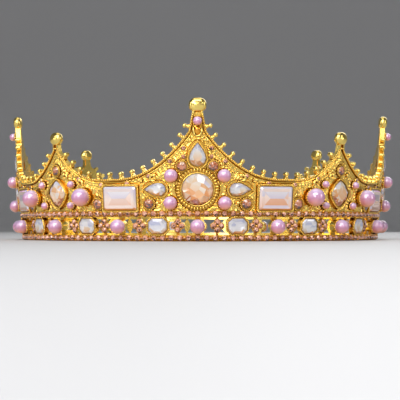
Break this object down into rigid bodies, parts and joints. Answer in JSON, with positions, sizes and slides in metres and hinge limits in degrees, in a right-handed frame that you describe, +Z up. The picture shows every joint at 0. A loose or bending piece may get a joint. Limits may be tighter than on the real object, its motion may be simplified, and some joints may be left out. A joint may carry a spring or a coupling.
{
  "type": "round baroque crown tiara",
  "caption": "Full round baroque crown in gold metalwork, with scalloped peaks and ball finials, champagne stones and pink pearls over an open gallery.",
  "frame": {"origin": "on the ground at the centre of the lower rim, which the crown rests on", "axes": "+Z up along the ring's axis, -Y towards the front tall peak, +X to the wearer's left"},
  "size_m": [0.1646, 0.1646, 0.0527],
  "materials": {
    "gold": "polished gold plate over cast relief",
    "champagne_stone": "foiled cut glass",
    "clear_stone": "foiled cut glass",
    "rose_stone": "foiled cut glass",
    "pink_rhinestone": "foiled cut glass",
    "pink_pearl": "pearl lustre"
  },
  "bodies": {
    "root": {"crown_frame": "gold", "round_stone_1": "champagne_stone", "round_stone_2": "champagne_stone", "round_stone_3": "champagne_stone", "round_stone_4": "champagne_stone", "top_pear_1": "champagne_stone", "top_pear_2": "champagne_stone", "top_pear_3": "champagne_stone", "top_pear_4": "champagne_stone", "side_pear_1": "clear_stone", "side_pear_2": "clear_stone", "side_pear_3": "clear_stone", "side_pear_4": "clear_stone", "side_pear_5": "clear_stone", "side_pear_6": "clear_stone", "side_pear_7": "clear_stone", "side_pear_8": "clear_stone", "baguette_1": "champagne_stone", "baguette_2": "champagne_stone", "baguette_3": "champagne_stone", "baguette_4": "champagne_stone", "baguette_5": "champagne_stone", "baguette_6": "champagne_stone", "baguette_7": "champagne_stone", "baguette_8": "champagne_stone", "cushion_stone_1": "champagne_stone", "cushion_stone_2": "champagne_stone", "cushion_stone_3": "champagne_stone", "cushion_stone_4": "champagne_stone", "big_pearl_1": "pink_pearl", "big_pearl_2": "pink_pearl", "big_pearl_3": "pink_pearl", "big_pearl_4": "pink_pearl", "big_pearl_5": "pink_pearl", "big_pearl_6": "pink_pearl", "big_pearl_7": "pink_pearl", "big_pearl_8": "pink_pearl", "crest_pearls": "pink_pearl", "tip_pearls": "pink_pearl", "small_pearls": "pink_pearl", "gallery_pearls": "pink_pearl", "gallery_stones": "clear_stone", "rose_stones": "rose_stone"}
  },
  "joints": []
}
